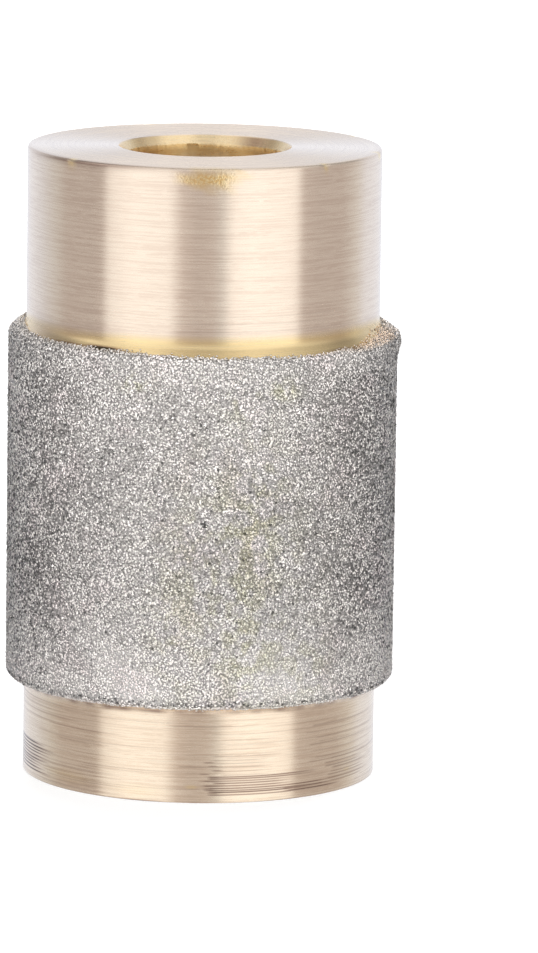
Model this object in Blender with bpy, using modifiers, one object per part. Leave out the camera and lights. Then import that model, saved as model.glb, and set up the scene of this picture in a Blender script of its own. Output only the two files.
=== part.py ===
# Glass grinder bit, stood on its foot with the bore upright.
#
# A brass hub is turned in one piece: a short foot, a raised land and a longer neck round a bore that
# runs right through. Diamond grit in plated nickel covers the land. A set screw in the neck's wall
# clamps the bit on the motor's shaft.
#
# The origin is at the centre of the foot's face. +Z runs up the bore, and +Y points out of the neck
# along the set screw. Lengths are in metres, and profiles are lists of (radius, height) points.

import math

import bmesh
import bpy

MM = 0.001

# Lengths up the bore, with the land measured over its chamfers
FOOT_LENGTH = 4.43 * MM
LAND_LENGTH = 17.84 * MM
NECK_LENGTH = 8.58 * MM

# Widths: the band is 3/4 inch over its grit and stands out from the foot and the neck by the step,
# and the bore is for a 5/16 inch shaft
BAND_DIAMETER = 19.05 * MM
SHOULDER_STEP = 0.9 * MM
BORE_DIAMETER = 7.94 * MM

# Turned edges: the land's ends are chamfered down to the foot and the neck
EDGE_BREAK = 0.15 * MM
BORE_CHAMFER_WIDTH = 0.25 * MM
BORE_CHAMFER_DEPTH = 0.43 * MM
LAND_FILLET = 0.5 * MM

# Diamond coating, with the clearance that keeps its solid off the land and the bare strip that it
# leaves at each end
COATING_THICKNESS = 0.25 * MM
BOND_CLEARANCE = 0.05 * MM
BARE_STRIP = 0.22 * MM

# Set screw: M4 by 4 mm with a 2 mm hex socket and a cup point
SCREW_DIAMETER = 3.9 * MM
SCREW_LENGTH = 4.0 * MM
SCREW_RECESS = 0.33 * MM
SCREW_CHAMFER = 0.3 * MM
SOCKET_ACROSS_FLATS = 2.0 * MM
SOCKET_DEPTH = 1.8 * MM
SOCKET_DRILL_DIAMETER = 1.9 * MM
SOCKET_DRILL_ANGLE = math.radians(118)
CUP_DIAMETER = 2.4 * MM
CUP_DEPTH = 0.4 * MM
CUP_CHAMFER_LENGTH = 0.6 * MM

# Tapped hole, drawn plain at its full thread diameter
THREAD_CLEARANCE = 0.06 * MM
HOLE_COUNTERSINK = 0.2 * MM

# Fineness of the curves
HUB_SEGMENTS = 96
SCREW_SEGMENTS = 48
EDGE_STEPS = 3
FILLET_STEPS = 4
SHARP_ANGLE = math.radians(28)

# Levels and radii that follow from the sizes above
LAND_BOTTOM = FOOT_LENGTH
LAND_TOP = FOOT_LENGTH + LAND_LENGTH
HEIGHT = LAND_TOP + NECK_LENGTH
SHOULDER_RADIUS = BAND_DIAMETER / 2 - SHOULDER_STEP
BORE_RADIUS = BORE_DIAMETER / 2
LAND_RADIUS = BAND_DIAMETER / 2 - COATING_THICKNESS - BOND_CLEARANCE
LAND_STEP = LAND_RADIUS - SHOULDER_RADIUS
FILLET_RADIUS = min(LAND_FILLET, LAND_STEP)
SCREW_RADIUS = SCREW_DIAMETER / 2
HOLE_RADIUS = SCREW_RADIUS + THREAD_CLEARANCE
HOLE_HEIGHT = LAND_TOP + NECK_LENGTH / 2


# Points along an arc in a profile, with angles in degrees from the outward radius.
def arc(centre_radius, centre_height, radius, start, end, steps):
    points = []
    for step in range(steps + 1):
        angle = math.radians(start + (end - start) * step / steps)
        points.append((
            centre_radius + radius * math.cos(angle),
            centre_height + radius * math.sin(angle),
        ))
    return points


# A concave fillet that blends a shoulder's wall into the land's chamfer, from the wall outwards.
def fillet(level, side):
    rise = FILLET_RADIUS * math.tan(math.radians(22.5))
    points = arc(
        SHOULDER_RADIUS + FILLET_RADIUS, rise, FILLET_RADIUS, 180, 225, FILLET_STEPS,
    )
    return [(radius, level + side * height) for radius, height in points]


def hub_profile():
    return [
        (BORE_RADIUS + BORE_CHAMFER_WIDTH, HEIGHT),
        (SHOULDER_RADIUS - EDGE_BREAK, HEIGHT),
        (SHOULDER_RADIUS, HEIGHT - EDGE_BREAK),
        *fillet(LAND_TOP, 1),
        (LAND_RADIUS, LAND_TOP - LAND_STEP),
        (LAND_RADIUS, LAND_BOTTOM + LAND_STEP),
        *reversed(fillet(LAND_BOTTOM, -1)),
        (SHOULDER_RADIUS, EDGE_BREAK),
        (SHOULDER_RADIUS - EDGE_BREAK, 0),
        (BORE_RADIUS + BORE_CHAMFER_WIDTH, 0),
        (BORE_RADIUS, BORE_CHAMFER_DEPTH),
        (BORE_RADIUS, HEIGHT - BORE_CHAMFER_DEPTH),
    ]


# A line round the land at a constant distance from it, between the bare strips at its two ends.
def line_over_land(distance):
    out = math.cos(math.radians(45)) * distance
    end = (SHOULDER_RADIUS + BARE_STRIP + out, LAND_TOP - BARE_STRIP + out)
    corner = arc(LAND_RADIUS, LAND_TOP - LAND_STEP, distance, 45, 0, EDGE_STEPS)
    upper = [end, *corner]
    middle = LAND_TOP + LAND_BOTTOM
    lower = [(radius, middle - height) for radius, height in reversed(upper)]
    return upper + lower


def coating_profile():
    outside = line_over_land(BOND_CLEARANCE + COATING_THICKNESS)
    inside = line_over_land(BOND_CLEARANCE)
    return outside + inside[::-1]


# The screw stands on its cup point here, with the socket end up, and both ends reach its axis.
def screw_profile():
    return [
        (0, SCREW_LENGTH),
        (SCREW_RADIUS - SCREW_CHAMFER, SCREW_LENGTH),
        (SCREW_RADIUS, SCREW_LENGTH - SCREW_CHAMFER),
        (SCREW_RADIUS, CUP_CHAMFER_LENGTH),
        (CUP_DIAMETER / 2, 0),
        (0, CUP_DEPTH),
    ]


# The tap drill's path from the bore's axis out, widened where it leaves the lowest part of the rim.
def hole_profile():
    rim = math.sqrt(SHOULDER_RADIUS ** 2 - HOLE_RADIUS ** 2)
    flare = rim - HOLE_COUNTERSINK
    outside = SHOULDER_RADIUS + HOLE_COUNTERSINK
    return [
        (0, outside),
        (HOLE_RADIUS + outside - flare, outside),
        (HOLE_RADIUS, flare),
        (HOLE_RADIUS, 0),
        (0, 0),
    ]


def new_collection(name):
    collection = bpy.data.collections.new(name)
    bpy.context.scene.collection.children.link(collection)
    return collection


def metal(name, colour, roughness):
    material = bpy.data.materials.new(name)
    material.use_nodes = True
    shader = material.node_tree.nodes["Principled BSDF"]
    shader.inputs["Base Color"].default_value = (*colour, 1)
    shader.inputs["Roughness"].default_value = roughness
    shader.inputs["Metallic"].default_value = 1
    material.diffuse_color = (*colour, 1)
    return material


def add_object(name, mesh, collection):
    part = bpy.data.objects.new(name, mesh)
    collection.objects.link(part)
    return part


# A profile turned about its own Z axis. A profile that ends on the axis is left open there.
def turned(name, points, segments, collection):
    closes_off_axis = points[0][0] > 0
    mesh = bpy.data.meshes.new(name)
    edges = [(i, i + 1) for i in range(len(points) - 1)]
    if closes_off_axis:
        edges.append((len(points) - 1, 0))
    mesh.from_pydata([(radius, 0, height) for radius, height in points], edges, [])
    part = add_object(name, mesh, collection)
    turning = part.modifiers.new("turning", 'SCREW')
    turning.axis = 'Z'
    turning.angle = math.tau
    turning.steps = segments
    turning.render_steps = segments
    turning.use_merge_vertices = True
    turning.merge_threshold = 0.001 * MM
    return part


# A hexagonal bar and the drill that went before it, both measured down from the screw's top face.
def socket_cutters(collection):
    corner_radius = SOCKET_ACROSS_FLATS / math.sqrt(3)
    drill_radius = SOCKET_DRILL_DIAMETER / 2
    drill_point = drill_radius / math.tan(SOCKET_DRILL_ANGLE / 2)
    overrun = SCREW_CHAMFER
    shape = bmesh.new()
    bmesh.ops.create_cone(
        shape, cap_ends=True, segments=6, radius1=corner_radius, radius2=corner_radius,
        depth=SOCKET_DEPTH + overrun,
    )
    bmesh.ops.translate(shape, verts=shape.verts, vec=(0, 0, (overrun - SOCKET_DEPTH) / 2))
    mesh = bpy.data.meshes.new("socket_hexagon")
    shape.to_mesh(mesh)
    shape.free()
    hexagon = add_object("socket_hexagon", mesh, collection)

    drill = turned("socket_drill", [
        (0, overrun),
        (drill_radius, overrun),
        (drill_radius, -SOCKET_DEPTH),
        (0, -SOCKET_DEPTH - drill_point),
    ], SCREW_SEGMENTS, collection)
    return hexagon, drill


def cut(part, cutter):
    cutter.hide_render = True
    cutter.display_type = 'WIRE'
    hole = part.modifiers.new(cutter.name, 'BOOLEAN')
    hole.operation = 'DIFFERENCE'
    hole.solver = 'EXACT'
    hole.object = cutter


# Keeps the shape that the modifiers give, smooth on its curves and sharp at its turned corners.
def finish(part, material):
    depsgraph = bpy.context.evaluated_depsgraph_get()
    mesh = bpy.data.meshes.new_from_object(part.evaluated_get(depsgraph))
    part.modifiers.clear()
    part.data = mesh
    mesh.name = part.name
    mesh.shade_smooth()
    mesh.set_sharp_from_angle(angle=SHARP_ANGLE)
    mesh.materials.clear()
    mesh.materials.append(material)


def build():
    for existing in list(bpy.data.objects):
        bpy.data.objects.remove(existing, do_unlink=True)
    parts = new_collection("glass_grinder_bit")
    cutters = new_collection("cutters")

    hub = turned("hub", hub_profile(), HUB_SEGMENTS, parts)
    coating = turned("diamond_coating", coating_profile(), HUB_SEGMENTS, parts)
    screw = turned("set_screw", screw_profile(), SCREW_SEGMENTS, parts)
    hole = turned("set_screw_hole", hole_profile(), SCREW_SEGMENTS, cutters)

    # Local +Z becomes +Y, so that the screw and its hole point out of the neck.
    outward = (-math.pi / 2, 0, 0)
    hole.location = (0, 0, HOLE_HEIGHT)
    hole.rotation_euler = outward
    screw.location = (0, SHOULDER_RADIUS - SCREW_RECESS - SCREW_LENGTH, HOLE_HEIGHT)
    screw.rotation_euler = outward
    cut(hub, hole)
    for cutter in socket_cutters(cutters):
        cutter.parent = screw
        cutter.location = (0, 0, SCREW_LENGTH)
        cut(screw, cutter)

    finish(hub, metal("turned_brass", (0.76, 0.60, 0.36), 0.28))
    finish(coating, metal("diamond_grit_in_nickel", (0.46, 0.45, 0.43), 0.5))
    finish(screw, metal("black_steel", (0.05, 0.05, 0.055), 0.4))


build()
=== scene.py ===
import math

import bmesh
import bpy
import numpy as np
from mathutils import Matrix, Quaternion, Vector


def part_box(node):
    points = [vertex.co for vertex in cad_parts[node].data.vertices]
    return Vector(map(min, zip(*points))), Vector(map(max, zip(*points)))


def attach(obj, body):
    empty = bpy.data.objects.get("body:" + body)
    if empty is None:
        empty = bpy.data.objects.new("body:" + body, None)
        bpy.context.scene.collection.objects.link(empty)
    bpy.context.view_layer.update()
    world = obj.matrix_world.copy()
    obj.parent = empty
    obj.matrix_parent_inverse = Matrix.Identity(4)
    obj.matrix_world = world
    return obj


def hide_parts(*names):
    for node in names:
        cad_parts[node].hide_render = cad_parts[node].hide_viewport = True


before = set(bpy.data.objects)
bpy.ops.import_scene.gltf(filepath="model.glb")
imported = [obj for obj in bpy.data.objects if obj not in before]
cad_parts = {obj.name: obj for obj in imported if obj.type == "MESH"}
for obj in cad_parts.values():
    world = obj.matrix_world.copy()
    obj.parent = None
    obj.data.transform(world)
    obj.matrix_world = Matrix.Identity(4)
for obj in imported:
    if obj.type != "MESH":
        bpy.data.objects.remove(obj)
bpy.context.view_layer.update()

mm = 0.001

# Angles round the bit are counted from -Y, the side that faces the camera, towards +X.
# Lengths in the dictionaries are in millimetres and meshes are in metres.

print("1 sizes from the frame")
hubLow, hubHigh = (np.array(corner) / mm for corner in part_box("hub"))
coatLow, coatHigh = (np.array(corner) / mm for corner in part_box("diamond_coating"))
screwLow, screwHigh = (np.array(corner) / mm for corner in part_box("set_screw"))

bit = {
    "height": hubHigh[2],
    "landRadius": hubHigh[0],
    "bandRadius": coatHigh[0],
    "screwHeight": (screwLow[2] + screwHigh[2]) / 2,
    "screwRadius": (screwHigh[0] - screwLow[0]) / 2,
    "screwInner": screwLow[1],
    "screwOuter": screwHigh[1],
}

print("2 mesh tools")


def meshFrom(name, points, faces):
    mesh = bpy.data.meshes.new(name)
    mesh.vertices.add(len(points))
    mesh.vertices.foreach_set("co", (points * mm).astype(np.float32).ravel())
    mesh.loops.add(faces.size)
    mesh.loops.foreach_set("vertex_index", faces.astype(np.int32).ravel())
    mesh.polygons.add(len(faces))
    mesh.polygons.foreach_set("loop_start", np.arange(len(faces), dtype=np.int32) * faces.shape[1])
    mesh.update(calc_edges=True)
    return mesh


# A grid of points, rows by columns by xyz, made a mesh. The columns go once round and join up. The
# rows join up where the profile is a closed loop, and otherwise its end rows are poles. The UV map
# holds the turn from 0 to 1, and the way along the profile in units of 100 mm.
def gridMesh(name, points, closedRows):
    rows, columns = points.shape[:2]
    index = np.arange(rows * columns).reshape(rows, columns)
    right = np.roll(index, -1, axis=1)
    count = rows if closedRows else rows - 1
    below = np.roll(index, -1, axis=0)[:count]
    belowRight = np.roll(right, -1, axis=0)[:count]
    faces = np.stack([index[:count], below, belowRight, right[:count]], axis=-1).reshape(-1, 4)
    mesh = meshFrom(name, points.reshape(-1, 3), faces)

    middle = points[:, 0]
    step = np.linalg.norm(np.roll(middle, -1, axis=0) - middle, axis=-1)
    along = np.concatenate([[0], np.cumsum(step)]) / 100
    start = np.broadcast_to(along[:count, None], (count, columns))
    end = np.broadcast_to(along[1:count + 1, None], (count, columns))
    left = np.broadcast_to(np.arange(columns) / columns, (count, columns))
    across = np.stack([left, left, left + 1 / columns, left + 1 / columns], axis=-1)
    down = np.stack([start, end, end, start], axis=-1)
    layer = mesh.uv_layers.new(name="surface")
    layer.uv.foreach_set("vector", np.stack([across, down], axis=-1).astype(np.float32).ravel())
    return mesh


# Gives a mesh one number for each of its points, for a material to read.
def pointValues(mesh, name, values):
    attribute = mesh.attributes.new(name, "FLOAT", "POINT")
    attribute.data.foreach_set("value", np.asarray(values, dtype=np.float32).ravel())


# Merges the points that lie on one spot, which turns a row of no radius into a pole.
def closePoles(mesh):
    work = bmesh.new()
    work.from_mesh(mesh)
    bmesh.ops.remove_doubles(work, verts=work.verts, dist=0.0001 * mm)
    work.to_mesh(mesh)
    work.free()


def smoothTo(mesh, degrees):
    mesh.shade_smooth()
    mesh.set_sharp_from_angle(angle=math.radians(degrees))


def addPiece(name, mesh, material, body, node=None):
    piece = bpy.data.objects.new(name, mesh)
    bpy.context.scene.collection.objects.link(piece)
    mesh.materials.clear()
    mesh.materials.append(material)
    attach(piece, body)
    if node:
        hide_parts(node)
    print("  ", name, len(mesh.polygons), "faces")
    return piece


# Radius, angle and height to x, y and z.
def around(radius, angle, height):
    return np.stack(np.broadcast_arrays(radius * np.sin(angle), -radius * np.cos(angle), height), axis=-1)


# The same about the set screw's axis, which runs along +Y. The turn starts at +Z and goes towards +X.
def alongScrew(radius, turn, distance):
    return np.stack(np.broadcast_arrays(
        radius * np.sin(turn), distance, bit["screwHeight"] + radius * np.cos(turn),
    ), axis=-1)


# Points on a straight line, without its last one.
def straight(start, end, spacing):
    count = max(1, round(math.dist(start, end) / spacing))
    share = np.linspace(0, 1, count, endpoint=False)[:, None]
    return np.array(start) * (1 - share) + np.array(end) * share


# Points on an arc of a circle, without its last one, with angles from the outward radius.
def bend(centre, radius, startAngle, endAngle, count):
    angle = np.radians(np.linspace(startAngle, endAngle, count, endpoint=False))
    return np.stack([centre[0] + radius * np.cos(angle), centre[1] + radius * np.sin(angle)], axis=-1)


# A bump of height 1 at its middle: the exponential of minus the square of distance over width.
def bell(distance, width):
    return np.exp(-(distance / width) ** 2)


# Smooth random wandering round the bit: a sum of cosines of the whole turns from first to last.
def wander(angle, random, first, last):
    total = np.zeros_like(angle)
    for turns in range(first, last + 1):
        total += np.cos(turns * angle + random.uniform(0, math.tau)) / math.sqrt(last - first + 1)
    return total


def degreesApart(angle, centre):
    return (np.degrees(angle) - centre + 180) % 360 - 180


print("3 shader groups")


def newGroup(name, inputs, outputs):
    group = bpy.data.node_groups.new(name, "ShaderNodeTree")
    for label, kind, value in inputs:
        socket = group.interface.new_socket(label, in_out="INPUT", socket_type=kind)
        if value is not None:
            socket.default_value = value
    for label in outputs:
        group.interface.new_socket(label, in_out="OUTPUT", socket_type="NodeSocketFloat")
    return group, group.nodes.new("NodeGroupInput"), group.nodes.new("NodeGroupOutput")


# Adds a node, sets its options, and joins or fills the inputs that are named or numbered.
def addNode(tree, kind, inputs=None, **options):
    node = tree.nodes.new(kind)
    for option, value in options.items():
        setattr(node, option, value)
    for socket, value in (inputs or {}).items():
        if isinstance(value, bpy.types.NodeSocket):
            tree.links.new(value, node.inputs[socket])
        elif isinstance(value, tuple) and len(value) == 3:
            node.inputs[socket].default_value = (*value, 1)
        else:
            node.inputs[socket].default_value = value
    return node


def combine(tree, operation, first, second=0.0, third=0.0):
    return addNode(tree, "ShaderNodeMath", {0: first, 1: second, 2: third}, operation=operation).outputs[0]


def mixColour(tree, share, first, second, blend="MIX"):
    node = addNode(tree, "ShaderNodeMix", data_type="RGBA", blend_type=blend)
    for socket, value in ((0, share), (6, first), (7, second)):
        if isinstance(value, bpy.types.NodeSocket):
            tree.links.new(value, node.inputs[socket])
        else:
            node.inputs[socket].default_value = value if socket == 0 else (*value, 1)
    return node.outputs[2]


def fade(tree, value, fromLow, fromHigh, toLow=0.0, toHigh=1.0):
    return addNode(tree, "ShaderNodeMapRange", {0: value, 1: fromLow, 2: fromHigh, 3: toLow, 4: toHigh}).outputs[0]


def useGroup(tree, group, inputs):
    node = tree.nodes.new("ShaderNodeGroup")
    node.node_tree = group
    for socket, value in inputs.items():
        if isinstance(value, bpy.types.NodeSocket):
            tree.links.new(value, node.inputs[socket])
        else:
            node.inputs[socket].default_value = value
    return node


# Marks of the cutting tool: noise that is fine along the profile and long round the bit, mixed with a
# sine along the profile for the tool's even feed. The turn is put on a circle, so the marks meet themselves.
def turningMarksGroup():
    group, entry, leave = newGroup("turningMarks", [
        ("Surface", "NodeSocketVector", None),
        ("Rings per mm", "NodeSocketFloat", 10.0),
        ("Drift", "NodeSocketFloat", 2.0),
        ("Seed", "NodeSocketFloat", 0.0),
    ], ["Marks"])
    parts = addNode(group, "ShaderNodeSeparateXYZ", {0: entry.outputs["Surface"]})
    turn = combine(group, "MULTIPLY", parts.outputs[0], math.tau)
    east = combine(group, "MULTIPLY", combine(group, "COSINE", turn), entry.outputs["Drift"])
    north = combine(group, "MULTIPLY", combine(group, "SINE", turn), entry.outputs["Drift"])
    rings = combine(group, "MULTIPLY", entry.outputs["Rings per mm"], 100)
    along = combine(group, "MULTIPLY_ADD", parts.outputs[1], rings, entry.outputs["Seed"])
    spot = addNode(group, "ShaderNodeCombineXYZ", {0: east, 1: north, 2: along})
    noise = addNode(group, "ShaderNodeTexNoise", {
        "Vector": spot.outputs[0], "Scale": 1.0, "Detail": 2.0, "Roughness": 0.6,
    })
    shorter = addNode(group, "ShaderNodeVectorMath", {0: spot.outputs[0], 1: Vector((7.0, 7.0, 0.7))}, operation="MULTIPLY")
    strokes = addNode(group, "ShaderNodeTexNoise", {"Vector": shorter.outputs[0], "Scale": 1.0})
    slip = addNode(group, "ShaderNodeTexNoise", {"Vector": spot.outputs[0], "Scale": 0.13})
    feed = combine(group, "SINE", combine(group, "MULTIPLY_ADD", slip.outputs[0], 14.0, combine(
        group, "MULTIPLY", along, 0.55 * math.tau,
    )))
    cut = combine(group, "SUBTRACT", noise.outputs[0], 0.5)
    strength = fade(group, strokes.outputs[0], 0.4, 0.6, 0.1, 1.9)
    broken = combine(group, "MULTIPLY_ADD", cut, strength, 0.5)
    marks = combine(group, "MULTIPLY_ADD", feed, 0.03, broken)
    group.links.new(marks, leave.inputs["Marks"])
    return group


# Soft patches and fine specks: two noises of different size on the place that is put in.
def mottleGroup():
    group, entry, leave = newGroup("mottle", [
        ("Place", "NodeSocketVector", None),
        ("Patch size mm", "NodeSocketFloat", 2.0),
        ("Speck size mm", "NodeSocketFloat", 0.1),
        ("Seed", "NodeSocketFloat", 0.0),
    ], ["Patches", "Specks"])
    for output, size in (("Patches", "Patch size mm"), ("Specks", "Speck size mm")):
        scale = combine(group, "DIVIDE", 1 / mm, entry.outputs[size])
        noise = addNode(group, "ShaderNodeTexNoise", noise_dimensions="4D")
        for socket, value in (("Vector", entry.outputs["Place"]), ("W", entry.outputs["Seed"]), ("Scale", scale)):
            group.links.new(value, noise.inputs[socket])
        group.links.new(noise.outputs[0], leave.inputs[output])
    return group


turningMarks = turningMarksGroup()
mottle = mottleGroup()


def newMaterial(name):
    material = bpy.data.materials.new(name)
    material.use_nodes = True
    tree = material.node_tree
    return material, tree, tree.nodes["Principled BSDF"]


def objectPlace(tree):
    return addNode(tree, "ShaderNodeTexCoord").outputs["Object"]


def attributeValue(tree, name):
    return addNode(tree, "ShaderNodeAttribute", attribute_name=name).outputs["Fac"]


print("4 materials")
brass = {
    "polished": (0.965, 0.825, 0.685),
    "marked": (0.72, 0.57, 0.465),
    "golden": (0.97, 0.76, 0.42),
    "goldenDark": (0.86, 0.53, 0.19),
    "dirtAndShadeColour": (0.21, 0.108, 0.085),
    "deepDirtAndShadeColour": (0.045, 0.036, 0.024),
    "roughness": (0.20, 0.29),
    "boreRoughness": 0.07,
    "anisotropy": 1.0,
    "fineRings": (11.5, 13.0),
    "fineDrift": 2.2,
    "broadRings": 4.0,
    "broadDrift": 1.0,
    "markContrast": (0.5, 0.68),
    "bumpDepth": 0.006,
}


def turnedBrass():
    material, tree, shader = newMaterial("turnedBrass")
    surface = addNode(tree, "ShaderNodeUVMap", uv_map="surface").outputs[0]
    coarse = attributeValue(tree, "coarse")
    fine = useGroup(tree, turningMarks, {
        "Surface": surface, "Rings per mm": fade(tree, coarse, 0.0, 1.0, *brass["fineRings"]),
        "Drift": brass["fineDrift"],
    }).outputs["Marks"]
    broad = useGroup(tree, turningMarks, {
        "Surface": surface, "Rings per mm": brass["broadRings"], "Drift": brass["broadDrift"], "Seed": 40.0,
    }).outputs["Marks"]
    stain = useGroup(tree, mottle, {"Place": objectPlace(tree), "Patch size mm": 0.9, "Speck size mm": 0.12})
    bare = attributeValue(tree, "bare")
    rough = attributeValue(tree, "rough")
    bore = attributeValue(tree, "bore")

    marks = combine(tree, "MULTIPLY_ADD", fine, 0.75, combine(tree, "MULTIPLY", broad, 0.25))
    contrast = fade(tree, coarse, 0.0, 1.0, *brass["markContrast"])
    marked = combine(tree, "MULTIPLY", fade(tree, marks, 0.56, 0.42), contrast)
    polished = mixColour(tree, marked, brass["polished"], brass["marked"])
    specks = combine(tree, "MULTIPLY", fade(tree, stain.outputs["Specks"], 0.56, 0.44), rough)
    lines = combine(tree, "MULTIPLY", fade(tree, marks, 0.72, 0.24, 0.3, 0.9), bore)
    golden = mixColour(tree, combine(tree, "MAXIMUM", specks, lines), brass["golden"], brass["goldenDark"])
    colour = mixColour(tree, bare, polished, golden)
    # Dirt and painted shade from the points' own values: dirt and painted shade in the tool grooves, dirt at the bore's
    # mouth, a darker line on the rim's edge, painted shadow along the foot's lower edge and in the corners above and
    # below the coating, and tarnish and painted shade on the neck above it. The strongest of it is near black.
    dirtAndShadeMask = attributeValue(tree, "dirtAndShadeMask")
    dirtAndShade = mixColour(tree, fade(tree, dirtAndShadeMask, 0.75, 0.97), brass["dirtAndShadeColour"], brass["deepDirtAndShadeColour"])
    colour = mixColour(tree, dirtAndShadeMask, colour, dirtAndShade)
    tree.links.new(colour, shader.inputs["Base Color"])
    roughness = combine(
        tree, "MULTIPLY_ADD", bore, brass["boreRoughness"], fade(tree, marks, 0.36, 0.64, *brass["roughness"]),
    )
    tree.links.new(roughness, shader.inputs["Roughness"])
    calmed = combine(tree, "MULTIPLY", marks, fade(tree, bore, 0.0, 1.0, 1.0, 0.2))
    height = combine(tree, "MULTIPLY_ADD", stain.outputs["Specks"], combine(tree, "MULTIPLY", rough, 5.0), calmed)
    bump = addNode(tree, "ShaderNodeBump", {"Height": height, "Distance": brass["bumpDepth"] * mm})
    tree.links.new(bump.outputs[0], shader.inputs["Normal"])
    tangent = addNode(tree, "ShaderNodeTangent", direction_type="UV_MAP", uv_map="surface")
    tree.links.new(tangent.outputs[0], shader.inputs["Tangent"])
    shader.inputs["Metallic"].default_value = 1.0
    shader.inputs["Anisotropic"].default_value = brass["anisotropy"]
    shader.inputs["Anisotropic Rotation"].default_value = 0.25
    return material


nickel = {
    "bed": (0.40, 0.38, 0.368),
    "bedDark": (0.13, 0.123, 0.118),
    "bedPale": (0.82, 0.79, 0.775),
    "crystalDark": (0.10, 0.095, 0.092),
    "crystalLight": (0.97, 0.924, 0.89),
    "greenTint": (0.74, 0.75, 0.50),
    "pinkTint": (1.0, 0.965, 0.98),
    "warmTint": (1.0, 0.86, 0.72),
    "bedRoughness": 0.42,
}


# How much of the stain's tint a place takes: blotches with clean metal between them.
def stainShare(tree, blotches):
    return combine(tree, "MULTIPLY", fade(tree, blotches, 0.44, 0.58), attributeValue(tree, "green"))


def tinted(tree, share, colour, tint):
    return mixColour(tree, share, colour, mixColour(tree, 1.0, colour, nickel[tint], "MULTIPLY"))


# The nickel between the crystals, duller and darker than they are.
def platedNickel():
    material, tree, shader = newMaterial("platedNickel")
    spots = useGroup(tree, mottle, {
        "Place": objectPlace(tree), "Patch size mm": 0.75, "Speck size mm": 0.09, "Seed": 7.0,
    }).outputs
    colour = mixColour(tree, fade(tree, spots["Specks"], 0.35, 0.65), nickel["bedDark"], nickel["bed"])
    colour = mixColour(tree, attributeValue(tree, "pale"), colour, nickel["bedPale"])
    colour = tinted(tree, stainShare(tree, spots["Patches"]), colour, "greenTint")
    tree.links.new(colour, shader.inputs["Base Color"])
    bump = addNode(tree, "ShaderNodeBump", {"Height": spots["Specks"], "Distance": 0.02 * mm})
    tree.links.new(bump.outputs[0], shader.inputs["Normal"])
    shader.inputs["Metallic"].default_value = 0.4
    shader.inputs["Roughness"].default_value = nickel["bedRoughness"]
    return material


# Crystals with a tone each, in faint green and pink patches.
def diamondGrit():
    material, tree, shader = newMaterial("diamondGrit")
    tone = attributeValue(tree, "tone")
    spots = useGroup(tree, mottle, {
        "Place": objectPlace(tree), "Patch size mm": 1.9, "Speck size mm": 0.75, "Seed": 7.0,
    }).outputs
    colour = mixColour(tree, tone, nickel["crystalDark"], nickel["crystalLight"])
    for tint, share in (
        ("greenTint", stainShare(tree, spots["Specks"])),
        ("pinkTint", fade(tree, spots["Patches"], 0.48, 0.34)),
        ("warmTint", attributeValue(tree, "warm")),
    ):
        colour = tinted(tree, share, colour, tint)
    tree.links.new(colour, shader.inputs["Base Color"])
    tree.links.new(fade(tree, tone, 0.0, 1.0, 0.5, 0.25), shader.inputs["Roughness"])
    shader.inputs["Metallic"].default_value = 0.15
    return material


steel = {"black": (0.035, 0.035, 0.04), "worn": (0.22, 0.21, 0.20), "roughness": 0.38}


def blackOxide():
    material, tree, shader = newMaterial("blackOxideSteel")
    spots = useGroup(tree, mottle, {
        "Place": objectPlace(tree), "Patch size mm": 0.7, "Speck size mm": 0.06, "Seed": 4.0,
    }).outputs["Specks"]
    colour = mixColour(tree, fade(tree, spots, 0.6, 0.75), steel["black"], steel["worn"])
    tree.links.new(colour, shader.inputs["Base Color"])
    bump = addNode(tree, "ShaderNodeBump", {"Height": spots, "Distance": 0.003 * mm})
    tree.links.new(bump.outputs[0], shader.inputs["Normal"])
    shader.inputs["Metallic"].default_value = 0.8
    shader.inputs["Roughness"].default_value = steel["roughness"]
    return material


brassMaterial = turnedBrass()
nickelMaterial = platedNickel()
gritMaterial = diamondGrit()
steelMaterial = blackOxide()

print("5 brass hub")
hub = {
    "columns": 256,
    "boreRadius": 3.97,
    "boreChamfer": (0.25, 0.48),
    "chamferDrop": {"angle": 155, "width": 14, "depth": 0.1},
    "shoulderRadius": 8.625,
    "rimBreak": 0.15,
    "footBreak": 0.06,
    "landBottom": 4.43,
    "landTop": 22.27,
    "landFillet": 0.5,
    "footSpacing": 0.0205,
    "neckSpacing": 0.25,
    "scratchZone": (22.9, 23.8),
    "scratchSpacing": 0.03,
    "goldAbove": 0.56,
    "goldFade": 0.40,
    "footGold": 0.17,
    "chamferGold": 0.74,
    "stain": {"angle": 2.0, "height": 30.32, "width": 11.0, "drop": 0.5},
    "spots": [(-2, 0.8, 2.2, 0.12, 0.7), (57, 0.95, 1.8, 0.09, 0.6), (-20, 0.5, 14, 0.5, 0.3), (150, 1.4, 9, 0.3, 0.4), (-47, 0.7, 13, 0.45, 0.4)],
    "burr": 0.04,
    "nicks": [(-48.0, 0.05, 1.5), (42.0, 0.09, 0.8), (78.0, 0.03, 1.5), (-160.0, 0.04, 2.0), (120.0, 0.04, 1.4)],
    "nickGold": 0.16,
    "rimDarkLine": {"angle": -44, "spread": 28, "width": 0.06, "strength": 0.75, "least": 0.1},
    # A painted shadow along the foot's lower edge, where it stands on the floor
    "footPaintedShade": {"angle": -19, "spread": 9, "width": 0.07, "strength": 0.8, "least": 0.4},
    "mouthDirt": {"angle": 143, "spread": 15.4, "strength": 0.7},
    # Dirt and painted shade in the corner above the coating and just below it, with tarnish and painted shade on the
    # neck
    "seamDirtAndShade": {"width": 0.14, "tarnishAndShade": 0.55, "below": 0.12},
}
# Dirt and painted shade in the corner above the coating: middle angle, spread in degrees, strength, and tarnish and
# painted shade on the neck
seams = [
    (-33, 7, 1.6, 0.2), (-48, 11, 0.8, 0.25), (-60, 12, 0.3, 0.4), (0, 14, 0.1, 0.12), (50, 10, 0.8, 0.28),
    (66, 12, 0.3, 0.25), (150, 40, 0.8, 0.25),
]
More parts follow.
